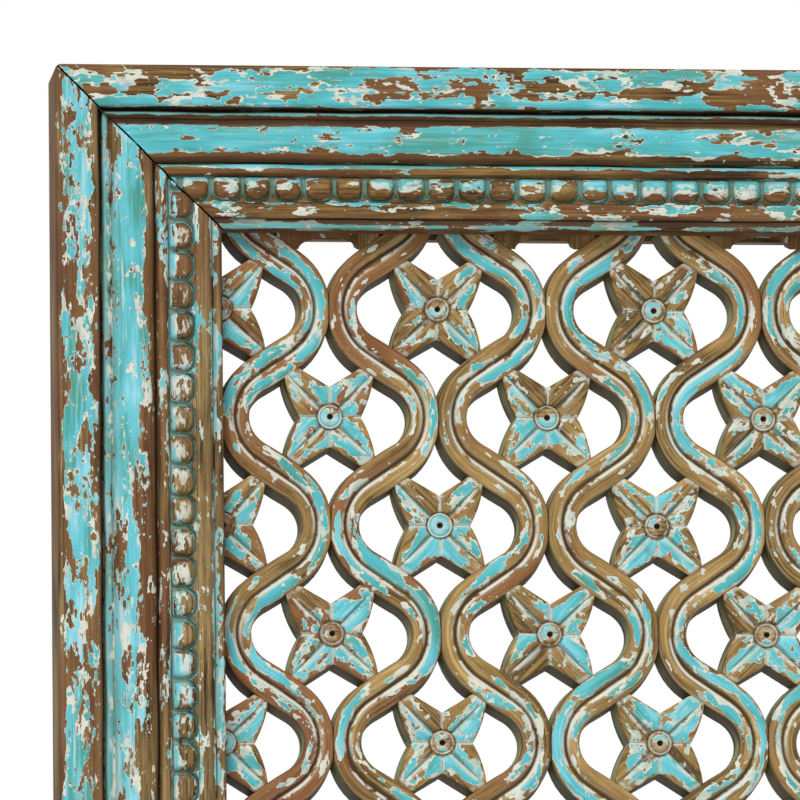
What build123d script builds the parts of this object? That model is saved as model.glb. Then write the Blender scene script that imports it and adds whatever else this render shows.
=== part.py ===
from build123d import *
import os
from math import asin, atan2, ceil, cos, degrees, hypot, sin

# Carved jali screen: a mitred, moulded hardwood frame round a pierced lattice of
# undulating ribbons and four-petalled flowers. Millimetres, +Z up, front towards -Y,
# origin at the middle of the foot.

# ---------------------------------------------------------------- driving dimensions
overall_width = 610.0
overall_height = 908.0

# Moulding across one frame member, from the outer edge to the sight edge
fascia_width = 21.5
quirk_width = 2.5          # deep groove beside the fascia
torus_width = 26.0
reed_gap = 1.0             # groove between the torus and the small reed
reed_width = 6.2
bead_width = 13.3          # rounded strip that carries the carved beads
band_width = 13.5          # flat band at the sight edge
arris_radius = 1.5
quirk_depth = 8.0
torus_foot = 5.0           # how far the torus falls below the crest at its edges
reed_foot = 3.0
bead_foot = 3.2
band_drop = 0.8

# Depths, from the front of the frame to its back
reveal_depth = 14.0        # front of the frame to the face of the lattice
jali_thickness = 21.0
strip_thickness = 10.0
rebate_lap = 12.0          # how far the lattice panel runs behind the frame

# Lattice
wanted_half_pitch = 55.25  # flower to the kiss beside it, evened out to fill the sight width
ribbon_width = 16.8
loop_share = 0.398         # flower to the centre of the loop beside it, over the half pitch
kiss_overlap = 1.15        # how far two ribbons run into each other where they kiss
petal_end_width = 6.8      # flat end of a petal against the ribbon
petal_end_share = 0.69     # middle of that end, over the ribbon's straight run
petal_lap = 0.9            # how far a petal's end runs into the ribbon
petal_bulge = 2.0          # shoulder on the side of a petal that faces the loop
notch_share = 0.29         # flower centre to the notch between petals, over the half pitch
facet_lead = 6.0           # how far the straight run carries on towards the kiss
edge_to_row = 35.5         # first row of flowers to the solid border above it
least_border = 2.5
fan_radius = 46.0          # arched heads of the openings at the border
columns_per_board = 2      # the lattice panel is glued up from boards this wide
panel_clearance = 1.0      # room for the panel to move in its rebate

# Joinery and hardware
spline_length = 60.0
spline_width = 36.0
spline_thickness = 5.0
spline_inset = 34.0        # spline centre from both outer edges of a corner
glue_gap = 0.1
nail_length = 55.0         # square cut nails, two across each mitre
nail_width = 3.0
nail_taper = 0.7           # degrees
nail_depths = (8.0, 15.0)  # behind the middle of the frame: down nails, then side nails
nail_insets = (18.0, 38.0) # from the corner: down nails, then side nails
strip_width = 11.5
strip_chamfer = 2.0
brad_length = 22.0         # square brads, sideways through a strip into its member
brad_width = 1.6
brad_pitch = 300.0
hanger_spacing = 406.4
hanger_drop = 30.0         # hanger plate centre below the top edge
plate_length = 40.0
plate_width = 16.0
plate_thickness = 1.5
keyhole_head = 9.0
keyhole_neck = 4.5
keyhole_rise = 8.0         # head centre to neck centre
pocket_depth = 11.0        # room behind the keyhole for a screw head
pocket_margin = 1.5

# ---------------------------------------------------------------- worked out
member_width = (fascia_width + quirk_width + torus_width + reed_gap + reed_width
                + bead_width + band_width)
frame_depth = reveal_depth + jali_thickness + strip_thickness
front = -frame_depth / 2
back = frame_depth / 2
jali_front = front + reveal_depth
jali_back = jali_front + jali_thickness
sight_width = overall_width - 2 * member_width
sight_height = overall_height - 2 * member_width
centre_height = overall_height / 2
rebate_width = sight_width + 2 * rebate_lap
rebate_height = sight_height + 2 * rebate_lap

columns = 2 * round(sight_width / 2 / wanted_half_pitch)
half_pitch = sight_width / columns
rows = 2 * int((sight_height / 2 - edge_to_row - least_border) // half_pitch)
field_height = rows * half_pitch + 2 * edge_to_row

# The ribbon: a loop round each flower, then a straight run to the next loop
loop_offset = loop_share * half_pitch
loop_outer_radius = half_pitch - loop_offset + kiss_overlap
loop_radius = loop_outer_radius - ribbon_width
loop_shift = half_pitch - 2 * loop_offset
loop_turn = (asin((loop_radius + loop_outer_radius) / hypot(loop_shift, half_pitch))
             - atan2(loop_shift, half_pitch))
straight_run = (loop_shift**2 + half_pitch**2 - (loop_radius + loop_outer_radius) ** 2) ** 0.5
kiss_half = (loop_outer_radius**2 - (half_pitch - loop_offset) ** 2) ** 0.5
notch_reach = notch_share * half_pitch


# ---------------------------------------------------------------- frame
def member_profile(plane):
    """Section of a frame member; local x runs inwards from the outer edge."""
    quirk_at = fascia_width
    torus_at = quirk_at + quirk_width
    gap_at = torus_at + torus_width
    reed_at = gap_at + reed_gap
    bead_at = reed_at + reed_width
    band_at = bead_at + bead_width
    with BuildSketch(plane) as profile:
        with BuildLine():
            Line((0, back), (0, front + arris_radius))
            RadiusArc((0, front + arris_radius), (arris_radius, front), arris_radius)
            Line((arris_radius, front), (quirk_at, front))
            Line((quirk_at, front), (quirk_at + quirk_width / 2, front + quirk_depth))
            Line((quirk_at + quirk_width / 2, front + quirk_depth), (torus_at, front + torus_foot))
            ThreePointArc((torus_at, front + torus_foot), (torus_at + torus_width / 2, front),
                          (gap_at, front + torus_foot))
            Line((gap_at, front + torus_foot), (reed_at, front + torus_foot))
            Line((reed_at, front + torus_foot), (reed_at, front + reed_foot))
            ThreePointArc((reed_at, front + reed_foot), (reed_at + reed_width / 2, front),
                          (bead_at, front + reed_foot))
            ThreePointArc((bead_at, front + reed_foot), (bead_at + bead_width / 2, front),
                          (band_at, front + bead_foot))
            Line((band_at, front + bead_foot), (band_at, front + band_drop))
            Line((band_at, front + band_drop), (member_width, front + band_drop))
            Line((member_width, front + band_drop), (member_width, jali_front))
            Line((member_width, jali_front), (member_width - rebate_lap, jali_front))
            Line((member_width - rebate_lap, jali_front), (member_width - rebate_lap, back))
            Line((member_width - rebate_lap, back), (0, back))
        make_face()
    return profile.sketch


def spline_plane(corner):
    """Mid plane of the spline that crosses the mitre at a corner such as (-1, 1)."""
    across, up = corner
    x = across * (overall_width / 2 - spline_inset)
    z = centre_height + up * (overall_height / 2 - spline_inset)
    return Plane(origin=(x, 0, z), x_dir=(across, 0, up), z_dir=(0, 1, 0))


def nail_planes(corner):
    """Where the two nails of a corner enter, facing the way that each is driven."""
    across, up = corner
    side = across * overall_width / 2
    end = up * overall_height / 2
    return [
        Plane(origin=(side - across * nail_insets[0], nail_depths[0], centre_height + end),
              x_dir=(1, 0, 0), z_dir=(0, 0, -up)),
        Plane(origin=(side, nail_depths[1], centre_height + end - up * nail_insets[1]),
              x_dir=(0, 1, 0), z_dir=(-across, 0, 0)),
    ]


def brad_planes(inward):
    """Where the brads enter one retaining strip, facing the way that each is driven."""
    run = inward.cross(Vector(0, 1, 0))
    half_across = abs(inward.X) * rebate_width / 2 + abs(inward.Z) * rebate_height / 2
    length = abs(run.X) * rebate_width + abs(run.Z) * (rebate_height - 2 * strip_width)
    count = int(length // brad_pitch) + 1
    face = Vector(0, jali_back + (strip_thickness - strip_chamfer) / 2, centre_height)
    face -= inward * (half_across - strip_width)
    return [Plane(origin=face + run * (number - (count - 1) / 2) * brad_pitch,
                  x_dir=run, z_dir=-inward) for number in range(count)]


def drive_spikes(planes, width, length, taper=0.0, mode=Mode.ADD):
    """Square nails in the open part block, or the holes that they leave."""
    for plane in planes:
        with BuildSketch(plane) as section:
            Rectangle(width, width)
        extrude(section.sketch, amount=length, taper=taper, mode=mode)


def frame_member(name, inward, corners, hanger_sides=()):
    """A moulded member cut to its mitres, with the seats of all that is let into it."""
    edge = Vector(0, 0, centre_height) - Vector(
        inward.X * overall_width / 2, 0, inward.Z * overall_height / 2)
    run = inward.cross(Vector(0, 1, 0))
    half_length = (abs(run.X) * overall_width + abs(run.Z) * overall_height) / 2
    pocket_width = keyhole_head + 2 * pocket_margin
    with BuildPart() as member:
        extrude(member_profile(Plane(origin=edge, x_dir=inward, z_dir=run)),
                amount=half_length, both=True)
        for end in (run, -run):
            split(bisect_by=Plane(origin=edge + end * half_length, z_dir=-(inward + end)))
        for corner in corners:
            with BuildSketch(spline_plane(corner)):
                Rectangle(spline_length + 2 * glue_gap, spline_width + 2 * glue_gap)
            extrude(amount=spline_thickness / 2 + glue_gap, both=True, mode=Mode.SUBTRACT)
            drive_spikes(nail_planes(corner), nail_width + 2 * glue_gap,
                         nail_length + glue_gap, nail_taper, Mode.SUBTRACT)
        drive_spikes(brad_planes(inward), brad_width + 2 * glue_gap,
                     brad_length + glue_gap, mode=Mode.SUBTRACT)
        for side in hanger_sides:
            with BuildSketch(hanger_plane(side)):
                Rectangle(plate_length + 2 * glue_gap, plate_width + 2 * glue_gap)
            extrude(amount=-plate_thickness, mode=Mode.SUBTRACT)
            with BuildSketch(hanger_plane(side)):
                Rectangle(pocket_width, pocket_width + keyhole_rise)
            extrude(amount=-pocket_depth, mode=Mode.SUBTRACT)
    member.part.label = name
    return member


# ---------------------------------------------------------------- lattice outlines
def eye_outline():
    """The opening between two ribbons, from one kiss up to the next, round (0, 0).

    Each ribbon runs round the flower in a loop, straight to the next loop on its other
    side, and meets its neighbour at the kiss; the last run to the kiss is one sawn facet.
    """
    normal = Vector(cos(loop_turn), sin(loop_turn))
    along = Vector(-sin(loop_turn), cos(loop_turn))
    loop_centre = Vector(loop_offset, 0)
    next_centre = Vector(half_pitch - loop_offset, half_pitch)
    loop_end = loop_centre + normal * loop_radius
    facet_start = next_centre - normal * loop_outer_radius + along * facet_lead
    with BuildSketch() as between_ribbons:
        with BuildLine():
            CenterArc(loop_centre, loop_radius, 0, degrees(loop_turn))
            Polyline(loop_end, facet_start, (0, half_pitch - kiss_half))
            mirror(about=Plane.XZ)
            mirror(about=Plane.YZ)
        make_face()
    return between_ribbons.sketch


def flower_outline():
    """Four petals that end flat against the ribbons, with notches between them.

    The side that faces the kiss is straight; the side that faces the loop has a shoulder.
    """
    normal = Vector(cos(loop_turn), sin(loop_turn))
    along = Vector(-sin(loop_turn), cos(loop_turn))
    end_middle = (Vector(loop_offset, 0) + normal * (loop_radius + petal_lap)
                  + along * petal_end_share * straight_run)
    upper_end = end_middle + along * petal_end_width / 2
    lower_end = end_middle - along * petal_end_width / 2
    notch = Vector(notch_reach, 0)
    chord = lower_end - notch
    shoulder = notch + chord / 2 + Vector(chord.Y, -chord.X).normalized() * petal_bulge
    with BuildSketch() as four_petals:
        with BuildLine():
            Polyline((0, 0), (0, notch_reach), upper_end, lower_end, shoulder, notch, close=True)
        make_face()
        mirror(about=Plane.YZ)
        mirror(about=Plane.XZ)
    return four_petals.sketch


def flower_sites(first_column, last_column):
    """Flower centres on the column lines given, measured from the panel's centre."""
    return [((column - columns / 2) * half_pitch, (rows / 2 - row) * half_pitch)
            for column in range(first_column, last_column + 1)
            for row in range(rows + 1) if (column + row) % 2 == 0]


def fan_sites(first_column, last_column):
    """Places of the empty openings that the borders cut off, turned to face each border."""
    return [Location(((column - columns / 2) * half_pitch, end * (rows / 2 + 1) * half_pitch),
                     90 - end * 90)
            for column in range(first_column, last_column + 1)
            for end in (1, -1) if column % 2 == 1]


def jali_board(number):
    """One board of the lattice panel, from its own column line to the next board's."""
    first = (number - 1) * columns_per_board
    last = min(first + columns_per_board, columns)
    panel_edge = rebate_width / 2 - panel_clearance
    left_edge = -panel_edge if first == 0 else (first - columns / 2) * half_pitch
    right_edge = panel_edge if last == columns else (last - columns / 2) * half_pitch
    with BuildSketch() as openings:
        with Locations(*flower_sites(first, last)):
            add(pierced_eye)
        Rectangle(sight_width, field_height, mode=Mode.INTERSECT)
        with Locations(*fan_sites(first, last)):
            add(fan)
    with BuildPart() as board:
        face = Plane(origin=(0, jali_back, centre_height), x_dir=(1, 0, 0), z_dir=(0, -1, 0))
        with BuildSketch(face):
            with Locations(((left_edge + right_edge) / 2, 0)):
                Rectangle(right_edge - left_edge, rebate_height - 2 * panel_clearance)
            add(openings.sketch, mode=Mode.SUBTRACT)
        extrude(amount=jali_thickness)
    board.part.label = f"jali_board_{number}"
    return board


# ---------------------------------------------------------------- joinery and hardware
def mitre_spline(name, corner):
    """Loose tongue glued into slots on both sides of a mitre."""
    with BuildPart() as spline:
        with BuildSketch(spline_plane(corner)):
            Rectangle(spline_length, spline_width)
        extrude(amount=spline_thickness / 2, both=True)
    spline.part.label = name
    return spline


def retaining_strip(name, inward, length):
    """Batten that holds the panel in its rebate; its inner back edge is chamfered."""
    half_across = abs(inward.X) * rebate_width / 2 + abs(inward.Z) * rebate_height / 2
    corner = Vector(0, jali_back, centre_height) - inward * half_across
    with BuildPart() as strip:
        with BuildSketch(Plane(origin=corner, x_dir=inward, z_dir=inward.cross(Vector(0, 1, 0)))):
            with BuildLine():
                Polyline((0, 0), (strip_width, 0), (strip_width, strip_thickness - strip_chamfer),
                         (strip_width - strip_chamfer, strip_thickness), (0, strip_thickness),
                         close=True)
            make_face()
        extrude(amount=length / 2, both=True)
        drive_spikes(brad_planes(inward), brad_width + 2 * glue_gap, brad_length,
                     mode=Mode.SUBTRACT)
    strip.part.label = name
    return strip


def spikes(name, planes, width, length, taper=0.0):
    """Nails or brads of one size, each its own solid."""
    with BuildPart() as group:
        drive_spikes(planes, width, length, taper)
    group.part.label = name
    return group


def hanger_plane(side):
    """Back of the top rail at one hanger, seen from behind: local y is up."""
    return Plane(origin=(side * hanger_spacing / 2, back, overall_height - hanger_drop),
                 x_dir=(-1, 0, 0), z_dir=(0, 1, 0))


def hanger_plate(name, side):
    """Steel keyhole plate let in flush; the screw enters the head and drops in the neck."""
    with BuildPart() as plate:
        with BuildSketch(hanger_plane(side).offset(-plate_thickness)):
            Rectangle(plate_length, plate_width)
            with Locations((0, -keyhole_rise / 2)):
                Circle(keyhole_head / 2, mode=Mode.SUBTRACT)
            with Locations((0, 0)):
                Rectangle(keyhole_neck, keyhole_rise, mode=Mode.SUBTRACT)
            with Locations((0, keyhole_rise / 2)):
                Circle(keyhole_neck / 2, mode=Mode.SUBTRACT)
        extrude(amount=plate_thickness)
    plate.part.label = name
    return plate


# ---------------------------------------------------------------- the assembly
down, up = Vector(0, 0, -1), Vector(0, 0, 1)
right, left = Vector(1, 0, 0), Vector(-1, 0, 0)
corner_places = {"top_left": (-1, 1), "top_right": (1, 1),
                 "bottom_right": (1, -1), "bottom_left": (-1, -1)}

eye = eye_outline()
flower = flower_outline()
with BuildSketch() as eye_less_flower:
    add(eye)
    add(flower, mode=Mode.SUBTRACT)
pierced_eye = eye_less_flower.sketch
with BuildSketch() as border_opening:
    add(eye)
    with Locations((0, edge_to_row - half_pitch - fan_radius)):
        Circle(fan_radius, mode=Mode.INTERSECT)
fan = border_opening.sketch

pieces = [
    frame_member("top_rail", down, ((-1, 1), (1, 1)), hanger_sides=(-1, 1)),
    frame_member("bottom_rail", up, ((-1, -1), (1, -1))),
    frame_member("left_stile", right, ((-1, -1), (-1, 1))),
    frame_member("right_stile", left, ((1, -1), (1, 1))),
]
pieces += [mitre_spline(f"mitre_spline_{place}", corner)
           for place, corner in corner_places.items()]
pieces += [jali_board(number + 1) for number in range(ceil(columns / columns_per_board))]
side_strip_length = rebate_height - 2 * strip_width - 2 * glue_gap
pieces += [
    retaining_strip("retaining_strip_top", down, rebate_width - 2 * glue_gap),
    retaining_strip("retaining_strip_bottom", up, rebate_width - 2 * glue_gap),
    retaining_strip("retaining_strip_left", right, side_strip_length),
    retaining_strip("retaining_strip_right", left, side_strip_length),
    spikes("corner_nails", [plane for corner in corner_places.values()
                            for plane in nail_planes(corner)],
           nail_width, nail_length, nail_taper),
    spikes("strip_brads", [plane for inward in (down, up, right, left)
                           for plane in brad_planes(inward)], brad_width, brad_length),
    hanger_plate("hanger_plate_left", -1),
    hanger_plate("hanger_plate_right", 1),
]

os.makedirs("parts", exist_ok=True)
for piece in pieces:
    export_step(piece.part, f"parts/{piece.part.label}.step")
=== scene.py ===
import random
from math import asin, atan2, cos, hypot, pi, radians, sin, sqrt

import bmesh
import bpy
from mathutils import Matrix, Vector


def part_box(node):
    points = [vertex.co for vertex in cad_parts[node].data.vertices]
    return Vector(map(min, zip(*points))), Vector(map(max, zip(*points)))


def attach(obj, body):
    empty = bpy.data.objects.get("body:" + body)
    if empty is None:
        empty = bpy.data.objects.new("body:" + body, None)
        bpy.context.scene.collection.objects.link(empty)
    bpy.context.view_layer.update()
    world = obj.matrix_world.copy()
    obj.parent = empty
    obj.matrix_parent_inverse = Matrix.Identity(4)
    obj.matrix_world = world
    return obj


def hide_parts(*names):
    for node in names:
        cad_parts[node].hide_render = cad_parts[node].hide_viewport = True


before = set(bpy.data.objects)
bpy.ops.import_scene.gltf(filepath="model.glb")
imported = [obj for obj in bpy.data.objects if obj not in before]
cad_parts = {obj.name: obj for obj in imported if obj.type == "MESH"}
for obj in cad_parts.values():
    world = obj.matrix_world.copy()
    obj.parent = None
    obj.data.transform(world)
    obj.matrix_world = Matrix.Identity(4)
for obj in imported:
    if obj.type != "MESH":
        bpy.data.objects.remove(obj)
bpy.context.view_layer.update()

random.seed(24)


# ==== Camera ====
# A portrait lens from the left and a little below, nearly square to the screen, so that the
# right and top walls of the openings show and the edges stay almost level.
left_edge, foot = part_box("left_stile")[0].x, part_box("bottom_rail")[0].z
right_edge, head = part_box("right_stile")[1].x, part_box("top_rail")[1].z
face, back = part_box("top_rail")[0].y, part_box("top_rail")[1].y
camera_distance = 6.0
camera_yaw, camera_pitch, camera_roll = radians(6.3), radians(8.8), radians(-0.65)
seen_width = 0.4035
aim_in, aim_down = 0.1733, 0.1713              # from the frame's upper left corner
aim = Vector((left_edge + aim_in, face, head - aim_down))
toward_camera = Vector((-sin(camera_yaw) * cos(camera_pitch),
                        -cos(camera_yaw) * cos(camera_pitch), -sin(camera_pitch)))
bpy.ops.object.camera_add(location=aim + toward_camera * camera_distance)
camera = bpy.context.object
camera.name = "portrait_lens"
looking = (-toward_camera).to_track_quat("-Z", "Y").to_matrix()
camera.rotation_euler = (looking @ Matrix.Rotation(camera_roll, 3, "Z")).to_euler()
camera.data.sensor_width = 36.0
camera.data.lens = camera.data.sensor_width * camera_distance / seen_width
camera.data.clip_end = 50.0
bpy.context.scene.camera = camera


# ==== Studio ====
# A pale floor under the foot of the screen and an even white room, with one broad soft
# light from the upper left that throws short shadows down and to the right.
def tone(red, green, blue):
    """An 8-bit screen colour as a linear colour with alpha."""
    def linear(channel):
        level = channel / 255
        return level / 12.92 if level <= 0.04045 else ((level + 0.055) / 1.055) ** 2.4
    return (linear(red), linear(green), linear(blue), 1.0)


bpy.ops.mesh.primitive_plane_add(size=5.0, location=(0, 0, foot))
floor = bpy.context.object
floor.name = "pale_floor"
floor_paint = bpy.data.materials.new("pale_floor")
floor_paint.use_nodes = True
floor_shader = floor_paint.node_tree.nodes["Principled BSDF"]
floor_shader.inputs["Base Color"].default_value = tone(236, 236, 234)
floor_shader.inputs["Roughness"].default_value = 0.9
floor.data.materials.append(floor_paint)

bpy.ops.object.light_add(type="SUN", rotation=(radians(48), radians(-24), 0))
sun = bpy.context.object
sun.name = "soft_key"
sun.data.energy = 1.9
sun.data.angle = radians(25)

room = bpy.data.worlds.new("white_room")
bpy.context.scene.world = room
room.use_nodes = True
room_nodes, room_links = room.node_tree.nodes, room.node_tree.links
room_light = room_nodes["Background"]
room_light.inputs["Color"].default_value = (0.95, 0.97, 1.0, 1.0)
room_light.inputs["Strength"].default_value = 0.55
white_card = room_nodes.new("ShaderNodeBackground")
white_card.inputs["Color"].default_value = (1.0, 1.0, 1.0, 1.0)
ray_kind = room_nodes.new("ShaderNodeLightPath")
sees_card = room_nodes.new("ShaderNodeMath")
sees_card.operation = "MAXIMUM"
room_links.new(ray_kind.outputs["Is Camera Ray"], sees_card.inputs[0])
room_links.new(ray_kind.outputs["Is Transmission Ray"], sees_card.inputs[1])
room_choice = room_nodes.new("ShaderNodeMixShader")
room_links.new(sees_card.outputs[0], room_choice.inputs[0])
room_links.new(room_light.outputs[0], room_choice.inputs[1])
room_links.new(white_card.outputs[0], room_choice.inputs[2])
room_links.new(room_choice.outputs[0], room_nodes["World Output"].inputs["Surface"])
bpy.context.scene.view_settings.view_transform = "Standard"


# ==== Frame members ====
# Two rails and two stiles of brown hardwood, run to one moulding by plane, mitred, and
# carved with a row of cushion beads; painted turquoise over cream primer and rubbed back.
member_width = 0.084
fascia_width = 0.0218
quirk_width = 0.0020
torus_at = fascia_width + quirk_width
torus_width = 0.0261
torus_rise = 0.0042
reed_at = torus_at + torus_width + 0.0008
reed_width = 0.0062
bead_at = reed_at + reed_width
bead_width = 0.0133
band_at = bead_at + bead_width
sight_line = 0.0788            # fine groove near the sight edge
rebate_lap = 0.012
bead_pitch = 0.0156
jali_face, jali_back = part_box("jali_board_1")[0].y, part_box("jali_board_1")[1].y
reveal = jali_face - face
shy = 0.00015                  # outer faces stand this far inside, so that nail heads show
mitre_gap = 0.00012
corner_round = 0.0034          # the sharp outer corners are rubbed round
bar_step = 0.007               # a member is run out in lengths of about this
overrun = 0.003                # and past both its ends, for the mitres to cut off
full_turn = 6.28
plane_marks, edge_sway = 0.00006, 0.00011      # how far hand work strays in depth and in width


def deselect_all():
    """Leaves edit mode with nothing selected, so an operator acts on its own piece only."""
    if bpy.context.mode != "OBJECT":
        bpy.ops.object.mode_set(mode="OBJECT")
    bpy.ops.object.select_all(action="DESELECT")


def take_up(piece):
    """Makes a piece the active one, alone, for the operators that follow."""
    deselect_all()
    piece.select_set(True)
    bpy.context.view_layer.objects.active = piece


def swept_bar(name, section):
    """A closed bar of no length yet: one filled ring of points, ready to extrude or spin."""
    deselect_all()
    bpy.ops.mesh.primitive_circle_add(vertices=len(section), fill_type="NGON")
    bar = bpy.context.object
    bar.name = name
    for vertex, place in zip(bar.data.vertices, section):
        vertex.co = place
    bpy.ops.object.mode_set(mode="EDIT")
    bpy.ops.mesh.select_all(action="SELECT")
    return bar


def slice_off(place, normal, fill=True):
    """In edit mode, cuts away all beyond a plane and closes the cut."""
    bpy.ops.mesh.select_all(action="SELECT")
    bpy.ops.mesh.bisect(plane_co=place, plane_no=normal, clear_outer=True, use_fill=fill)


def store(piece, name, values, kind="FLOAT"):
    """Keeps one value a point on the mesh, for the finish to read."""
    layer = piece.data.attributes.new(name, kind, "POINT")
    if kind == "FLOAT":
        layer.data.foreach_set("value", values)
    else:
        layer.data.foreach_set("vector", [part for value in values for part in value])


def store_all(piece, **columns):
    """Keeps several values a point, each under its own name."""
    for name, values in columns.items():
        store(piece, name, values)


def face_outwards():
    """In edit mode, turns every face of a closed piece outwards, then leaves edit mode."""
    bpy.ops.mesh.select_all(action="SELECT")
    bpy.ops.mesh.normals_make_consistent(inside=False)
    bpy.ops.object.mode_set(mode="OBJECT")


def copied(model):
    """A copy of a model piece, with its own mesh."""
    copy = bpy.data.objects.new(model.name, model.data.copy())
    bpy.context.collection.objects.link(copy)
    return copy


def joined(pieces, name):
    """Many pieces made one object."""
    deselect_all()
    for piece in pieces:
        piece.select_set(True)
    bpy.context.view_layer.objects.active = pieces[0]
    bpy.ops.object.join()
    whole = bpy.context.object
    whole.name = name
    return whole


def round_over(start, end, rise, steps):
    """Points of a rounded member between two feet, as (inwards, height)."""
    middle, half = (start + end) / 2, (end - start) / 2
    return [(middle - half * cos(pi * step / steps), rise * sin(pi * step / steps))
            for step in range(steps + 1)]


def moulding_section():
    """The section from the back of the outer edge, over the front: (inwards, depth)."""
    depth = back - face - shy
    section = [(shy, depth), (shy, 0.030), (shy, 0.015), (shy, 0.004), (shy, 0.0016),
               (0.0005, 0.0006), (0.0014, 0.0001)]
    flat = fascia_width - 0.0034
    section += [(0.0014 + flat * step / 8, 0.0001) for step in range(1, 9)]
    section += [(fascia_width - 0.0012, 0.0004), (fascia_width - 0.0004, 0.0011),
                (fascia_width, 0.0024), (fascia_width + 0.0003, 0.0052),
                (fascia_width + 0.0007, 0.0078), (torus_at - 0.0005, 0.0076),
                (torus_at - 0.0001, 0.0060), (torus_at + 0.0002, 0.0042),
                (torus_at + 0.0008, 0.0036), (torus_at + 0.0030, 0.0037),
                (torus_at + 0.0036, 0.0041), (torus_at + 0.0039, 0.0045)]
    section += [(u, 0.0044 - rise) for u, rise in
                round_over(torus_at + 0.0042, torus_at + torus_width, torus_rise, 18)]
    section += [(torus_at + torus_width + 0.0003, 0.0056), (reed_at - 0.0002, 0.0056)]
    section += [(u, 0.0040 - rise) for u, rise in round_over(reed_at, bead_at, 0.0036, 10)]
    section += [(bead_at + 0.0001, 0.0050), (bead_at + bead_width / 2, 0.0052),
                (band_at - 0.0001, 0.0050), (band_at, 0.0016), (band_at + 0.0004, 0.0010)]
    section += [(band_at + 0.0004 + (sight_line - band_at - 0.0008) * step / 4, 0.0009)
                for step in range(1, 5)]
    section += [(sight_line, 0.0021), (sight_line + 0.0005, 0.0013), (sight_line + 0.0027, 0.0012),
                (sight_line + 0.0031, 0.0009), (member_width - 0.0008, 0.0011),
                (member_width - 0.0001, 0.0022), (member_width, 0.0060), (member_width, reveal),
                (member_width - rebate_lap, reveal), (member_width - rebate_lap, depth),
                (member_width / 2, depth)]
    return section


def read_off(stations, at):
    """The values at a place between stations; each station is a place, then its values."""
    low = stations[0]
    for high in stations[1:]:
        if at <= high[0]:
            share = max(at - low[0], 0.0) / (high[0] - low[0])
            return [here + (there - here) * share for here, there in zip(low[1:], high[1:])]
        low = high
    return list(low[1:])


# Across a member in millimetres: how much paint the rubbing has left, then how dark it is painted,
# partly dirt and partly painted shade: shade in the quirk under the fascia, along the torus's lower
# foot, at the sight edge and on the outer side, and on the rails also across the torus's upper part.
rail_wear_and_shade = ((0.0, -0.30, 0.3), (0.8, -0.16, 0.0), (2.4, 0.04, 0.0), (6.0, -0.04, 0.0),
             (12.0, -0.08, 0.0), (17.0, -0.02, 0.0), (19.6, 0.08, 0.0), (21.5, 0.08, 0.0),
             (21.8, -0.40, 0.8), (23.6, -0.10, 0.6), (24.0, 0.20, 0.1), (24.7, 0.16, 0.2),
             (25.5, -0.50, 0.8), (29.8, -0.45, 0.8), (31.0, 0.02, 0.2), (31.8, 0.12, 0.0),
             (41.0, 0.12, 0.0), (45.2, 0.04, 0.0), (46.2, -0.18, 0.2), (48.8, -0.30, 0.7),
             (49.6, -0.24, 0.75), (50.4, 0.20, 0.1), (52.4, 0.12, 0.0), (53.6, -0.24, 0.0),
             (56.6, -0.22, 0.2), (57.4, 0.09, 0.0), (60.0, 0.04, 0.0), (64.0, -0.06, 0.0),
             (68.5, -0.22, 0.0), (70.6, -0.05, 0.0), (73.0, -0.05, 0.0), (76.0, -0.10, 0.0),
             (77.8, -0.18, 0.3), (78.6, -0.18, 0.8), (81.5, -0.14, 0.75), (81.9, 0.06, 0.4),
             (83.4, 0.02, 0.4), (84.0, -0.25, 0.5))
stile_wear_and_shade = ((0.0, -0.40, 0.4), (1.0, -0.24, 0.0), (2.6, 0.02, 0.0), (8.0, 0.01, 0.0),
              (14.0, -0.05, 0.0), (18.0, -0.06, 0.0), (20.6, -0.16, 0.0), (22.2, -0.40, 0.6),
              (23.8, 0.08, 0.4), (24.4, 0.14, 0.0), (27.0, 0.06, 0.0), (31.0, 0.04, 0.0),
              (38.0, 0.05, 0.0), (43.0, -0.03, 0.0), (46.6, -0.14, 0.0), (49.8, -0.30, 0.6),
              (50.8, -0.14, 0.0), (53.6, -0.14, 0.0), (56.2, -0.14, 0.2), (57.2, 0.05, 0.0),
              (60.0, 0.00, 0.0), (63.0, -0.12, 0.0), (68.5, -0.18, 0.0), (70.6, -0.08, 0.0),
              (72.6, -0.15, 0.0), (77.0, -0.21, 0.2), (78.6, 0.02, 0.7), (80.7, -0.14, 0.3),
              (81.1, -0.10, 0.0), (84.0, -0.20, 0.3))


def grime_and_shade(inwards, depth):
    """How dark a member is painted, partly dirt and partly painted shade: most in the quirks, the
    bead beds and at the feet, and more the deeper a point lies.
    """
    if inwards < 0.0003 or inwards > member_width - 0.0002 or depth > 0.012:
        return 0.0
    if bead_at < inwards < band_at:
        return 0.85 * min(max((depth - 0.0012) / 0.0026, 0.0), 1.0) ** 1.4
    if abs(inwards - sight_line) < 0.0003:
        return 0.7
    feet = (torus_at + 0.0042, 0.0045), (torus_at + torus_width, -0.0030), (reed_at, 0.0016)
    lying = 0.0
    for foot_at, reach in feet:
        from_foot = (inwards - foot_at) / reach
        if 0 <= from_foot < 1:
            lying = 0.5 * (1 - from_foot)
    return max(lying, min(max((depth - 0.0030) / 0.0022, 0.0), 1.0))


bead_along = (-0.0078, -0.0074, -0.0070, -0.0067, -0.0061, -0.0051, -0.0037, -0.0019, 0.0,
              0.0019, 0.0037, 0.0051, 0.0061, 0.0067, 0.0070, 0.0074, 0.0078)
bead_across = (0.0, 0.0003, 0.0006, 0.0011, 0.0020, 0.0033, 0.0048, 0.0064, 0.0080, 0.0094,
               0.0106, 0.0114, 0.0120, 0.0124, 0.0128, 0.0133)


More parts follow.
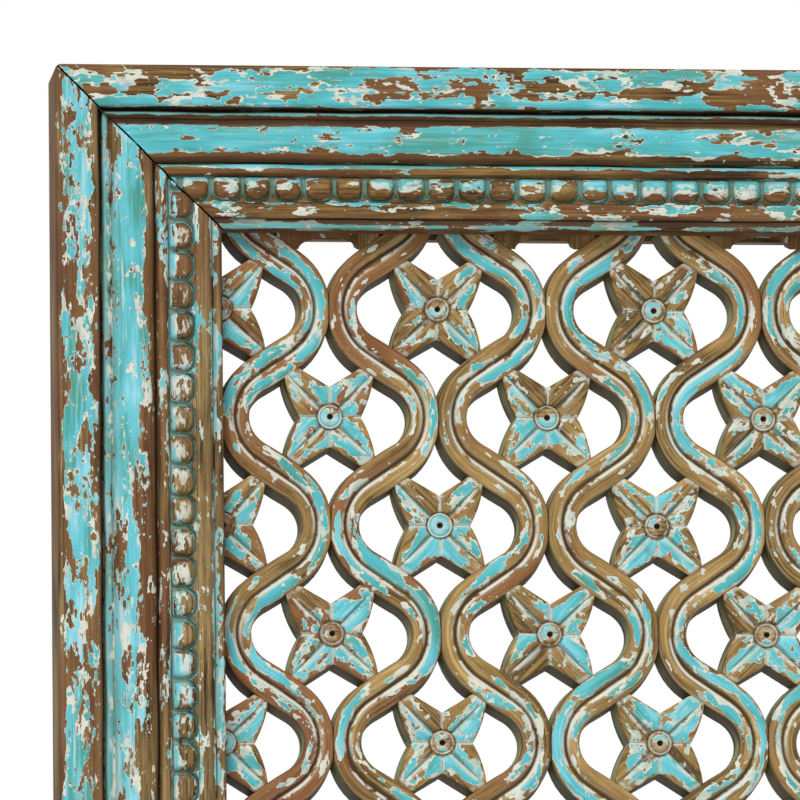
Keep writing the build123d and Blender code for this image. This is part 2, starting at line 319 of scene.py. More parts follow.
def bead_tile():
    """One cushion bead in its bed: nearly square towards the reed, rounded towards the band."""
    deselect_all()
    bpy.ops.mesh.primitive_grid_add(x_subdivisions=len(bead_along) - 1,
                                    y_subdivisions=len(bead_across) - 1, size=1.0)
    tile = bpy.context.object
    half_length, half_height, middle = 0.0070, 0.0060, 0.0064
    for vertex in tile.data.vertices:
        along = bead_along[round((vertex.co.x + 0.5) * (len(bead_along) - 1))]
        across = bead_across[round((vertex.co.y + 0.5) * (len(bead_across) - 1))]
        corner = 0.0055 if across > middle else 0.0024
        past_end = abs(along) - half_length + corner
        past_side = abs(across - middle) - half_height + corner
        outside = hypot(max(past_end, 0.0), max(past_side, 0.0))
        inside = corner - outside - min(max(past_end, past_side), 0.0)
        if inside > 0:
            depth = 0.0004 + 0.0034 * (1 - sqrt(1 - (1 - min(inside / 0.0052, 1.0)) ** 2))
        elif across > middle and inside < -0.0012:
            depth = 0.0014
        else:
            depth = 0.0038 + 0.0007 * min(-inside / 0.0006, 1.0)
        vertex.co = (along, across, depth)
    return tile


class Finish:
    """A material drawn up node by node: each method adds one node and gives its output."""

    def __init__(self, name):
        self.material = bpy.data.materials.new(name)
        self.material.use_nodes = True
        self.nodes = self.material.node_tree.nodes
        self.links = self.material.node_tree.links
        self.shader = self.nodes["Principled BSDF"]

    def feed(self, source, socket):
        if isinstance(source, bpy.types.NodeSocket):
            self.links.new(source, socket)
        else:
            socket.default_value = source

    def object_place(self):
        return self.nodes.new("ShaderNodeTexCoord").outputs["Object"]

    def stored(self, name, output="Fac"):
        node = self.nodes.new("ShaderNodeAttribute")
        node.attribute_name = name
        return node.outputs[output]

    def math(self, operation, *values):
        node = self.nodes.new("ShaderNodeMath")
        node.operation = operation
        for value, socket in zip(values, node.inputs):
            self.feed(value, socket)
        return node.outputs[0]

    def total(self, *terms):
        whole = terms[0]
        for term in terms[1:]:
            whole = self.math("ADD", whole, term)
        return whole

    def noise(self, place, cell, detail=2.0, roughness=0.5, twist=0.0):
        """Fractal noise about nought, about 0.15 either way, with cells of the size given."""
        shrink = self.nodes.new("ShaderNodeVectorMath")
        shrink.operation = "DIVIDE"
        self.feed(place, shrink.inputs[0])
        self.feed(cell, shrink.inputs[1])
        node = self.nodes.new("ShaderNodeTexNoise")
        self.links.new(shrink.outputs[0], node.inputs["Vector"])
        node.inputs["Scale"].default_value = 1.0
        node.inputs["Detail"].default_value = detail
        node.inputs["Roughness"].default_value = roughness
        node.inputs["Distortion"].default_value = twist
        return self.math("SUBTRACT", node.outputs["Fac"], 0.5)

    def above(self, value, edge, blur):
        """0 below an edge and 1 above it, over a band of the width given."""
        node = self.nodes.new("ShaderNodeMapRange")
        node.interpolation_type = "SMOOTHSTEP"
        self.feed(value, node.inputs["Value"])
        self.feed(edge - blur / 2, node.inputs["From Min"])
        self.feed(edge + blur / 2, node.inputs["From Max"])
        return node.outputs["Result"]

    def blend(self, share, low, high):
        node = self.nodes.new("ShaderNodeMix")
        node.data_type = "RGBA"
        self.feed(share, node.inputs[0])
        self.feed(low, node.inputs[6])
        self.feed(high, node.inputs[7])
        return node.outputs[2]

    def emboss(self, height, strength, distance):
        """Gives the surface its fine relief; it is the last node before the shader."""
        node = self.nodes.new("ShaderNodeBump")
        node.inputs["Strength"].default_value = strength
        node.inputs["Distance"].default_value = distance
        self.feed(height, node.inputs["Height"])
        self.feed(node.outputs["Normal"], self.shader.inputs["Normal"])


def grain_cells(along, flat=False):
    """Gives a function that sizes a pattern's cells: long with the grain and wide across it.

    On a flat map, as one stored in a piece's own "flow", the third side is a metre.
    """
    def cell(long, wide):
        sides = [wide, wide, 1.0 if flat else wide]
        sides[along] = long
        return sides
    return cell


def wood_colour(finish, place, cell, look):
    """Bare hardwood: long dark grain, short pores, and slow change from golden to red."""
    grain = finish.noise(place, cell(0.075, 0.0014), detail=4.0, roughness=0.62, twist=0.35)
    pores = finish.noise(place, cell(0.009, 0.00045), detail=2.0, roughness=0.6)
    slow = finish.noise(place, cell(0.060, 0.016), detail=2.0, roughness=0.5, twist=0.6)
    light = finish.total(finish.math("MULTIPLY_ADD", grain, look["grain"], 0.45),
                         finish.math("MULTIPLY", slow, 1.5),
                         finish.math("MULTIPLY", pores, look["pores"]))
    colour = finish.blend(finish.above(light, 0.25, 0.5), look["wood_dark"], look["wood_mid"])
    colour = finish.blend(finish.above(light, 0.72, 0.55), colour, look["wood_light"])
    red = finish.noise(place, cell(0.11, 0.045), detail=1.0)
    if look["walls"]:
        red = finish.total(red, finish.stored("red"))
    reddened = finish.blend(0.65, colour, look["wood_red"])
    return finish.blend(finish.above(red, look["red_from"], 0.16), colour, reddened)


def worn_paint(name, place_name, along, look):
    """Turquoise over cream primer over bare wood, rubbed through where it has been handled, with dirt
    and painted shade darkened into its hollows and painted highlights laid in cream.
    """
    finish = Finish(name)
    place = finish.stored(place_name, "Vector") if place_name else finish.object_place()
    cell = grain_cells(along, flat=bool(place_name))
    kept = finish.stored("kept")
    sunk = finish.stored("sunk")
    patch = finish.noise(place, cell(*look["patch"]), detail=3.0, roughness=0.5, twist=0.5)
    island = finish.noise(place, cell(*look["island"]), detail=3.0, roughness=0.55, twist=0.3)
    ragged = finish.noise(place, cell(*look["ragged"]), detail=2.0, roughness=0.6)
    chip = finish.noise(place, cell(*look["chip"]), detail=2.0, roughness=0.55, twist=0.4)
    speck = finish.noise(place, cell(*look["speck"]), detail=1.5, roughness=0.5)
    scratch = finish.noise(place, cell(*look["scratch"]), detail=2.0, roughness=0.55)
    whole = finish.total(
        kept,
        finish.math("MULTIPLY", patch, look["patch_pull"]),
        finish.math("MULTIPLY", island, look["island_pull"]),
        finish.math("MULTIPLY", ragged, look["ragged_pull"]),
        finish.math("MULTIPLY", finish.above(speck, 0.20, 0.04), 0.16),
        finish.math("MULTIPLY", finish.above(scratch, 0.185, 0.04), -0.10))
    paint = finish.math("MINIMUM", whole, finish.math("MULTIPLY_ADD", chip, -0.6,
                                                      0.6 * look["chip_from"]))
    rim = finish.noise(place, cell(*look["rim"]), detail=2.0)
    rim_width = finish.math("MULTIPLY_ADD", finish.math("MAXIMUM", rim, 0.0),
                            look["rim_pull"], look["rim_width"])
    turquoise = finish.above(paint, 0.0, 0.014)
    primer = finish.above(finish.total(paint, rim_width), 0.0, 0.014)

    hue = finish.noise(place, cell(0.050, 0.018), detail=2.0, twist=0.4)
    streak = finish.noise(place, cell(0.030, 0.0016), detail=3.0, roughness=0.6)
    paint_light = finish.total(hue, finish.math("MULTIPLY", streak, 0.55))
    paint_colour = finish.blend(finish.above(paint_light, -0.08, 0.20),
                                look["paint_deep"], look["paint"])
    paint_colour = finish.blend(finish.above(paint_light, 0.12, 0.20),
                                paint_colour, look["paint_light"])
    stain = finish.noise(place, cell(0.012, 0.006), detail=4.0, roughness=0.65)
    stained = finish.math("MULTIPLY", finish.above(stain, 0.14, 0.10), 0.55)
    paint_colour = finish.blend(stained, paint_colour, look["stain"])
    wash = finish.noise(place, cell(0.050, 0.0030), detail=4.0, roughness=0.65, twist=0.3)
    washed = finish.math("MULTIPLY", finish.above(wash, 0.10, 0.14), look["wash"])
    paint_colour = finish.blend(washed, paint_colour, look["chalk"])
    chalk = finish.noise(place, cell(0.012, 0.004), detail=3.0)
    chalk_colour = finish.blend(finish.above(chalk, 0.04, 0.3), look["primer"], look["primer_grey"])
    colour = finish.blend(primer, wood_colour(finish, place, cell, look), chalk_colour)
    colour = finish.blend(turquoise, colour, paint_colour)
    # Dirt and painted shade: the stored darkness takes the colour towards dark brown, or towards
    # olive where paint is left.
    dirt_and_shade = finish.blend(turquoise, look["dirt_and_shade"], look["paint_dirt_and_shade"])
    colour = finish.blend(finish.math("MULTIPLY", sunk, 0.86), colour, dirt_and_shade)
    crack = finish.noise(place, cell(0.045, 0.0006), detail=2.0, roughness=0.6, twist=0.2)
    cracked = finish.math("MULTIPLY", finish.above(crack, 0.21, 0.07), 0.55)
    colour = finish.blend(cracked, colour, look["dirt_and_shade"])
    if look["walls"]:
        wall = finish.stored("wall")
        # The walls' own grey-green patina mottles at random, and painted shade darkens it towards the
        # front and the back of each wall.
        patina_and_shade = finish.noise(place, (0.03, 0.009, 1.0), detail=2.0, twist=0.4)
        from_middle = finish.math("ABSOLUTE", finish.math("SUBTRACT", wall, 0.55))
        patina_and_shade = finish.total(patina_and_shade, finish.math("MULTIPLY", from_middle, -0.45))
        wall_colour = finish.blend(finish.above(patina_and_shade, -0.14, 0.22),
                                   look["wall_deep"], look["wall_near"])
        # Painted shade: walls that face down are coloured darker, as if in shade.
        underside_shade = finish.math("MULTIPLY", finish.stored("underside_shade"), 0.88)
        wall_colour = finish.blend(underside_shade, wall_colour, look["wall_underside_shade"])
        colour = finish.blend(finish.above(wall, 0.05, 0.06), colour, wall_colour)
    # Painted highlight: cream on crests and on edges that face up, partly primer rubbed bare and
    # partly painted highlight, broken up in patches.
    worn_edge_and_highlight = finish.total(island, finish.math("MULTIPLY", ragged, 0.6))
    worn_edge_and_highlight = finish.above(worn_edge_and_highlight, look["cream_edge"], 0.08)
    lit = finish.math("MULTIPLY", finish.stored("cream"), worn_edge_and_highlight)
    colour = finish.blend(lit, colour, look["primer"])
    colour = finish.blend(finish.stored("seam"), colour, look["seam"])
    finish.feed(colour, finish.shader.inputs["Base Color"])

    sheen = finish.blend(turquoise, (0.62, 0.62, 0.62, 1), (0.42, 0.42, 0.42, 1))
    finish.feed(sheen, finish.shader.inputs["Roughness"])
    finish.shader.inputs["Specular IOR Level"].default_value = 0.25
    grain = finish.noise(place, cell(0.04, 0.0008), detail=3.0, roughness=0.6)
    relief = finish.total(finish.math("MULTIPLY", turquoise, 0.5),
                          finish.math("MULTIPLY", primer, 0.35),
                          finish.math("MULTIPLY", grain, 1.1))
    finish.emboss(relief, strength=0.5, distance=0.0004)
    return finish.material


frame_look = {
    "wear": rail_wear_and_shade,
    "patch": (0.080, 0.012), "patch_pull": 0.75, "island": (0.019, 0.0065), "island_pull": 0.85,
    "ragged": (0.0050, 0.0024), "ragged_pull": 0.34, "chip": (0.0062, 0.0040), "chip_from": 0.17,
    "speck": (0.0032, 0.0015), "scratch": (0.022, 0.0013),
    "rim": (0.016, 0.006), "rim_width": 0.018, "rim_pull": 0.80,
    "paint": tone(84, 186, 192), "paint_light": tone(126, 210, 222),
    "paint_deep": tone(76, 158, 146), "stain": tone(104, 142, 100),
    "primer": tone(222, 220, 204), "primer_grey": tone(182, 196, 182),
    "wash": 0.22, "chalk": tone(206, 226, 228),
    "wood_dark": tone(56, 37, 16), "wood_mid": tone(115, 82, 39), "wood_light": tone(158, 124, 70),
    "wood_red": tone(116, 72, 42), "red_from": 0.03, "grain": 2.2, "pores": 1.0,
    # the two dark colours that follow serve for dirt and for painted shade in hollows and shaded
    # bands
    "dirt_and_shade": tone(34, 24, 12), "paint_dirt_and_shade": tone(118, 122, 90), "seam": tone(24, 16, 9),
    "walls": False, "cream_edge": 0.06, "foot_cream": 0.0,
}
stile_look = dict(frame_look, wear=stile_wear_and_shade, paint=tone(100, 195, 205), chip_from=0.14,
                  paint_light=tone(150, 218, 230), wash=0.60, rim_pull=0.75, patch_pull=0.65,
                  ragged=(0.0042, 0.0018), ragged_pull=0.46, foot_cream=0.9,
                  wood_mid=tone(128, 102, 60), wood_light=tone(168, 142, 94))


def block(low, high):
    """A square block between two corners."""
    deselect_all()
    bpy.ops.mesh.primitive_cube_add(size=1.0, location=(Vector(low) + Vector(high)) / 2)
    piece = bpy.context.object
    piece.scale = Vector(high) - Vector(low)
    bpy.ops.object.transform_apply(location=True, rotation=False, scale=True)
    return piece


def cut_away(piece, cutters):
    """Takes the cutters out of a piece one after another."""
    for cutter in cutters:
        take_up(piece)
        cut = piece.modifiers.new("cut", "BOOLEAN")
        cut.operation = "DIFFERENCE"
        cut.object = cutter
        bpy.ops.object.modifier_apply(modifier="cut")
        bpy.data.objects.remove(cutter)


def cut_pocket(member, plate):
    """Hollows a rail behind a let-in keyhole plate, so that a screw head has room."""
    low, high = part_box(plate)
    middle_x, middle_z = (low.x + high.x) / 2, (low.z + high.z) / 2
    half_width, half_height, depth, clear = 0.006, 0.0075, 0.011, 0.002
    cut_away(member, [block((middle_x - half_width, high.y - depth, middle_z - half_height),
                            (middle_x + half_width, high.y + clear, middle_z + half_height))])


def carve_member(node, inward, grain_axis, look, plates=()):
    """One member: moulding run full length, beads let in, mitres cut, then its finish."""
    run = inward.cross(Vector((0, 1, 0)))
    length = abs(run.x) * (right_edge - left_edge) + abs(run.z) * (head - foot)
    edge = Vector((-inward.x * (right_edge - left_edge) / 2, 0,
                   (foot + head) / 2 - inward.z * (head - foot) / 2))

    def place(inwards, depth, along):
        return edge + inward * inwards + run * along + Vector((0, face + depth, 0))

    def reading(vertex):
        """Where a point lies on the member: (along, inwards)."""
        return (vertex.co - edge).dot(run), (vertex.co - edge).dot(inward)

    def inside_mitre(along, inwards):
        """How far a point lies from the nearer mitre's cut."""
        return (length / 2 - abs(along) - inwards) / sqrt(2) - mitre_gap

    steps = int(length / bar_step)
    member = swept_bar(f"carved_{node}", [
        place(inwards, depth, -length / 2 - overrun) for inwards, depth in moulding_section()])
    for _ in range(steps):
        bpy.ops.mesh.extrude_region_move(
            TRANSFORM_OT_translate={"value": run * (length + 2 * overrun) / steps})
    face_outwards()
    swings = [(random.uniform(5, 22), random.uniform(0, full_turn), random.uniform(0.5, 1))
              for _ in range(6)]
    for vertex in member.data.vertices:
        along, inwards = reading(vertex)
        if 0.0004 < inwards < member_width - 0.0004 and vertex.co.y < face + reveal - 0.002:
            swing = [size * sin(rate * along * full_turn + turn + 60 * inwards)
                     for rate, turn, size in swings]
            vertex.co.y += plane_marks * (sum(swing[:3]) + 3)
            vertex.co += inward * edge_sway * sum(swing[3:]) * min(inwards / 0.006, 1.0)
    for plate in plates:
        cut_pocket(member, plate)

    tile = bead_tile()
    beads = []
    count = int(length / bead_pitch) - 4
    for number in range(count):
        bead = copied(tile)
        middle = (number - (count - 1) / 2) * bead_pitch
        fat, lean = random.uniform(0.95, 1.0), random.uniform(-0.04, 0.04)
        lift, nudge = random.uniform(0, 0.0003), random.uniform(-0.0003, 0.0003)
        for vertex in bead.data.vertices:
            along, across, depth = vertex.co
            # the outermost points of a bed stay where the next bed and the moulding meet them
            rim = abs(along) > 0.0072 or across < 0.0002 or across > 0.0132
            shift = 0.0 if rim else along * (fat - 1) + lean * across + nudge
            drop = lift if depth < 0.003 and not rim else 0.0
            vertex.co = place(bead_at + across, depth + drop, middle + along + shift)
        beads.append(bead)
    bpy.data.objects.remove(tile)
    strip = joined(beads, "beads")
    bpy.ops.object.mode_set(mode="EDIT")
    bpy.ops.mesh.select_all(action="SELECT")
    bpy.ops.mesh.remove_doubles(threshold=0.00002)
    bpy.ops.object.mode_set(mode="OBJECT")
    if strip.data.polygons[0].normal.y > 0:
        strip.data.flip_normals()
    joined([member, strip], member.name)
    bpy.ops.object.mode_set(mode="EDIT")
    for end in (run, -run):
        square = (inward + end).normalized()
        corner = edge + end * length / 2 - square * mitre_gap
        for inset in (0.0010, 0.0004):
            bpy.ops.mesh.select_all(action="SELECT")
            bpy.ops.mesh.bisect(plane_co=corner - square * inset, plane_no=square)
        for share in (0.25, 0.5, 0.75, 1.0):
            bpy.ops.mesh.select_all(action="SELECT")
            bpy.ops.mesh.bisect(plane_co=edge + end * (length / 2 - corner_round * share),
                                plane_no=end)
        slice_off(corner, square, fill=False)
        bpy.ops.mesh.select_all(action="DESELECT")
        cut = bmesh.from_edit_mesh(member.data)
        for rim in cut.edges:
            if rim.is_boundary and all(abs((point.co - corner).dot(square)) < 0.00001
                                       for point in rim.verts):
                rim.select_set(True)
        bmesh.update_edit_mesh(member.data)
        bpy.ops.mesh.edge_face_add()
    bpy.ops.object.mode_set(mode="OBJECT")
    for vertex in member.data.vertices:
        along, inwards = reading(vertex)
        if inside_mitre(along, inwards) < 0.0002 and vertex.co.y < face + 0.010:
            worn_back = 0.00008 + 0.00026 * (1 + sin(inwards * 900) * sin(inwards * 331 + length))
            square = (inward + (run if along > 0 else -run)).normalized()
            vertex.co -= square * worn_back
            vertex.co.y += worn_back
    for vertex in member.data.vertices:
        along, inwards = reading(vertex)
        from_end = length / 2 - abs(along)
        off_round = hypot(corner_round - inwards, corner_round - from_end)
        if max(inwards, from_end) < corner_round < off_round:
            pull = 1 - corner_round / off_round
            vertex.co += inward * pull * (corner_round - inwards)
            vertex.co -= (run if along > 0 else -run) * pull * (corner_round - from_end)

    kept, sunk, cream, seam = [], [], [], []
    for vertex in member.data.vertices:
        along, inwards = reading(vertex)
        depth = vertex.co.y - face
        hollow_dirt_and_shade = grime_and_shade(inwards, depth)
        in_bed = bead_at < inwards < band_at and hollow_dirt_and_shade > 0.7
        crest = bead_at + 0.0015 < inwards < band_at - 0.0015 and depth < 0.0010
        paint_left, dirt_and_shade_here = read_off(look["wear"], inwards * 1000)
        kept.append(-1.3 if depth > 0.0135 else paint_left + 0.5 * in_bed)
        # painted shade and dirt: the darker of the hollows' darkening and the stations' darkness
        sunk.append(max(hollow_dirt_and_shade, dirt_and_shade_here if depth < 0.012 else 0.0))
        # painted highlight: cream on the bead crests, and on the stiles only along the torus's foot,
        # partly primer worn bare
        at_foot = torus_at + 0.0029 < inwards < torus_at + 0.0044
        cream.append(look["foot_cream"] if at_foot else 0.7 * crest)
        seam.append(min(max(1 - inside_mitre(along, inwards) / 0.0003, 0.0), 1.0))
    store_all(member, kept=kept, sunk=sunk, cream=cream, seam=seam)
    take_up(member)
    bpy.ops.object.shade_smooth_by_angle(angle=radians(40))
    member.data.materials.append(worn_paint(f"{node}_finish", None, grain_axis, look))
    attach(member, "root")
    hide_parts(node)


down, up, rightward, leftward = (Vector((0, 0, -1)), Vector((0, 0, 1)),
                                 Vector((1, 0, 0)), Vector((-1, 0, 0)))
carve_member("top_rail", down, 0, frame_look, ("hanger_plate_left", "hanger_plate_right"))
carve_member("bottom_rail", up, 0, frame_look)
carve_member("left_stile", rightward, 2, stile_look)
carve_member("right_stile", leftward, 2, stile_look)


# ==== Lattice boards ====
# Four boards of the same hardwood, glued edge to edge, sawn and pierced right through, then
# carved: wavy ribbons of two reeds that kiss, and a four-petalled flower in every opening.
columns, rows = 8, 12
columns_per_board = 2
sight_left, sight_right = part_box("left_stile")[1].x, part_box("right_stile")[0].x
half_pitch = (sight_right - sight_left) / columns
panel_left, panel_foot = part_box("jali_board_1")[0].x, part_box("jali_board_1")[0].z
panel_right, panel_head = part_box("jali_board_4")[1].x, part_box("jali_board_4")[1].z
middle_height = (foot + head) / 2
border_line = rows / 2 * half_pitch + 0.0398   # centre of the panel to its solid border
panel_shy = 0.0001                             # outer faces stand this far inside the panel
board_depth = jali_back - jali_face - panel_shy
carved_depth = 0.0017                          # deeper than this the walls are as sawn
wall_depths = (board_depth, board_depth - 0.0004, 0.0130, 0.0070, 0.0024)
bare = -1.5                                    # kept so low that no paint is left at all
ribbon_width = 0.0168
kiss_overlap = 0.00115
fullest, slim_inside, slim_outside = 1.13, 0.25, 0.14   # a ribbon swells between its kisses
wall_flare = 0.0009                            # sawn walls lean out towards the back
seam_width = 0.0006
loop_offset = 0.398 * half_pitch               # flower to the centre of the loop beside it
loop_radius = half_pitch - loop_offset + kiss_overlap - ribbon_width / 2
loop_shift = half_pitch - 2 * loop_offset
loop_turn = asin(2 * loop_radius / hypot(loop_shift, half_pitch)) - atan2(loop_shift, half_pitch)
straight_run = sqrt(loop_shift ** 2 + half_pitch ** 2 - 4 * loop_radius ** 2)

# Half a ribbon from its groove to its edge: across and depth in millimetres, then how much paint is
# kept, how dark it is painted with dirt and painted shade, and how much cream its edge shows, partly
# worn primer and partly painted highlight.
reed = ((0.10, 2.25, -0.20, 0.95, 0.00), (0.50, 2.00, -0.20, 0.85, 0.00),
        (0.85, 1.45, -0.20, 0.45, 0.60), (1.20, 0.95, -0.20, 0.00, 1.00),
        (1.75, 0.55, -0.14, 0.00, 1.00), (2.60, 0.22, -0.07, 0.00, 0.10),
        (4.00, 0.00, -0.06, 0.00, 0.00), (5.30, 0.12, -0.07, 0.00, 0.00),
        (6.50, 0.42, -0.14, 0.00, 0.00), (7.30, 0.80, -0.22, 0.10, 0.10),
        (7.75, 1.15, -0.30, 0.25, 0.10), (8.00, 1.65, -0.35, 0.50, 0.00))
# Rings of a flower's boss from its bored centre outwards, told in the same way.
boss_rings = ((0.00, 3.60, -0.3, 1.00, 0.0), (1.10, 3.30, -0.3, 1.00, 0.0),
              (1.40, 1.10, -0.2, 0.80, 0.0), (1.75, 0.32, -0.12, 0.10, 0.5),
              (2.40, 0.06, -0.08, 0.00, 0.3), (3.30, 0.02, -0.05, 0.00, 0.2),
              (4.10, 0.16, -0.07, 0.00, 0.1), (4.70, 0.46, -0.12, 0.15, 0.2),
              (5.05, 0.90, -0.12, 0.60, 0.0), (5.35, 0.74, -0.12, 0.25, 0.4),
              (5.75, 0.66, -0.10, 0.00, 0.6), (6.15, 0.90, -0.2, 0.15, 0.3),
              (6.50, 1.60, -0.2, 0.80, 0.0))
petal_rows = (0.07, 0.15, 0.24, 0.33, 0.38, 0.44, 0.52, 0.61, 0.70, 0.79, 0.87, 0.93, 0.97, 1.0)
notch_row = 0.38
boss_radius = 0.0065
notch_reach = 0.277 * half_pitch
petal_lap = 0.0004
petal_bulge = 0.0012
tip_half = 0.0038
rib_end = 0.86                                 # the cut along a petal's middle runs out here
rib_half, rib_least, rib_depth = 0.00165, 0.0006, 0.0017
chamfer_width, valley_drop, rim_drop = 0.0014, 0.0013, 0.0009
broad_petal = 0.0048                           # where a petal is narrower, its cuts narrow too
mirror_snap, mirror_merge = 0.000002, 0.000005
web_half, arch_half, arch_rise = 0.026, 0.015, 0.006   # the arched web at a fan


def column_x(column):
    """Across the panel to a column line, where flowers and kisses take turns."""
    return sight_left + column * half_pitch


def row_z(row):
    """Height of a row of flowers, counted down from the top."""
    return middle_height + (rows / 2 - row) * half_pitch


def wall_share(depth):
    """0 on the carved face and the bare back; on a sawn wall, from 0.15 at its front to 1."""
    if depth < carved_depth or depth > board_depth - 0.0002:
        return 0.0
    return 0.15 + 0.85 * (depth - carved_depth) / (board_depth - carved_depth)


def wavy_ribbon():
    """The ribbon between the first two column lines, swept round its loops by spins."""
    half = [(reed[-1][0] / 1000 + wall_flare * depth / board_depth, depth)
            for depth in wall_depths]
    half += [(across / 1000, depth / 1000) for across, depth, *_ in reversed(reed)]
    section = half + [(-across, depth) for across, depth in reversed(half)]
    start = Vector((column_x(1) - loop_offset - loop_radius, jali_face, row_z(-1)))
    ribbon = swept_bar("ribbon", [start + Vector((across, depth, 0)) for across, depth in section])
    bpy.ops.object.mode_set(mode="OBJECT")
    store(ribbon, "across", [across for across, _ in section])
    bpy.ops.object.mode_set(mode="EDIT")
    arc_steps, run_steps = 8, 4
    travelled = [0.0]
    for row in range(-1, rows + 2):
        side = 1 if row % 2 == 0 else -1
        centre_x = column_x(0) + loop_offset if side > 0 else column_x(1) - loop_offset
        halves = 1 if row in (-1, rows + 1) else 2
        bpy.ops.mesh.spin(steps=arc_steps * halves, angle=-side * loop_turn * halves,
                          center=(centre_x, 0, row_z(row)), axis=(0, 1, 0))
        for _ in range(arc_steps * halves):
            travelled.append(travelled[-1] + loop_radius * loop_turn / arc_steps)
        if row <= rows:
            heading = Vector((-side * sin(loop_turn), 0, -cos(loop_turn)))
            for _ in range(run_steps):
                bpy.ops.mesh.extrude_region_move(
                    TRANSFORM_OT_translate={"value": heading * straight_run / run_steps})
                travelled.append(travelled[-1] + straight_run / run_steps)
    bpy.ops.object.mode_set(mode="OBJECT")
    store(ribbon, "along", [travelled[vertex.index // len(section)]
                            for vertex in ribbon.data.vertices])
    across_of = [entry.value for entry in ribbon.data.attributes["across"].data]
    points, uphill = list(ribbon.data.vertices), []
    middle_x = (column_x(0) + column_x(1)) / 2
    apex_sway = half_pitch / 2 + kiss_overlap - ribbon_width / 2
    for first in range(0, len(points), len(section)):
        ring = sorted(points[first:first + len(section)], key=lambda point: across_of[point.index])
        centre = (ring[0].co + ring[-1].co) / 2
        lateral = (ring[-1].co - ring[0].co).normalized()
        sway = (centre.x - middle_x) / apex_sway
        for point in points[first:first + len(section)]:
            across = across_of[point.index]
            inside = lateral.x * across * sway < 0
            swell = fullest - (slim_inside if inside else slim_outside) * sway ** 2
            point.co += lateral * across * (swell - 1)
            uphill.append(-lateral.z if across > 0 else lateral.z)
    store(ribbon, "uphill", uphill)
    bpy.ops.object.mode_set(mode="EDIT")
    for line, outward in ((column_x(0), -1), (column_x(1), 1)):
        bpy.ops.mesh.select_all(action="SELECT")
        bpy.ops.mesh.bisect(plane_co=(line - outward * seam_width, 0, 0),
                            plane_no=(outward, 0, 0))
        slice_off((line, 0, 0), (outward, 0, 0))
    slice_off((0, 0, middle_height + border_line + 0.0003), (0, 0, 1))
    slice_off((0, 0, middle_height - border_line - 0.0003), (0, 0, -1))
    face_outwards()

    kept, sunk, cream, seam, wall = [], [], [], [], []
    for vertex, across, uphill in zip(ribbon.data.vertices, ribbon.data.attributes["across"].data,
                                      ribbon.data.attributes["uphill"].data):
        depth = vertex.co.y - jali_face
        _, paint, hollow_dirt_and_shade, edge = read_off(reed, abs(across.value) * 1000)
        to_line = min(abs(vertex.co.x - column_x(0)), abs(vertex.co.x - column_x(1)))
        kept.append(paint if depth < 0.0023 else bare)
        # painted shade darkens the groove and the carved edges; painted highlight puts more cream on
        # the side of the groove that faces up
        sunk.append(hollow_dirt_and_shade if abs(across.value) < 0.004 or depth < carved_depth else 0.0)
        cream.append(edge * min(max(0.60 + 1.1 * uphill.value, 0.10), 1.0))
        seam.append(0.85 if to_line < seam_width / 2 and depth < 0.0023 else 0.0)
        wall.append(0.0 if abs(across.value) < 0.006 else wall_share(depth))
    store_all(ribbon, kept=kept, sunk=sunk, cream=cream, seam=seam, wall=wall)
    return ribbon


def ribbon_for(number):
    """The ribbon beside a column line; every other one is turned over to meet its neighbour."""
    piece = copied(ribbon)
    turned = number % 2 == 1
    shift, swell = random.uniform(0, 0.8), random.uniform(20, 34)
    flow = []
    for vertex, along, across in zip(piece.data.vertices, piece.data.attributes["along"].data,
                                     piece.data.attributes["across"].data):
        depth = vertex.co.y - jali_face
        side = 1 if across.value > 0 else -1
        down_wall = side * max(depth - carved_depth, 0.0)
        flow.append((along.value + shift, across.value + 0.05 * side + down_wall, 3.0 * number))
        if depth < board_depth - 0.001:
            wave = sin(along.value * swell * 2 + number) + sin(along.value * swell * 5.3)
            vertex.co.y += 0.00007 * (wave + 2)
        inwards = vertex.co.x - column_x(0)
        vertex.co.x = column_x(number + 1) - inwards if turned else column_x(number) + inwards
    store(piece, "flow", flow, "FLOAT_VECTOR")
    if turned:
        piece.data.flip_normals()
    return piece


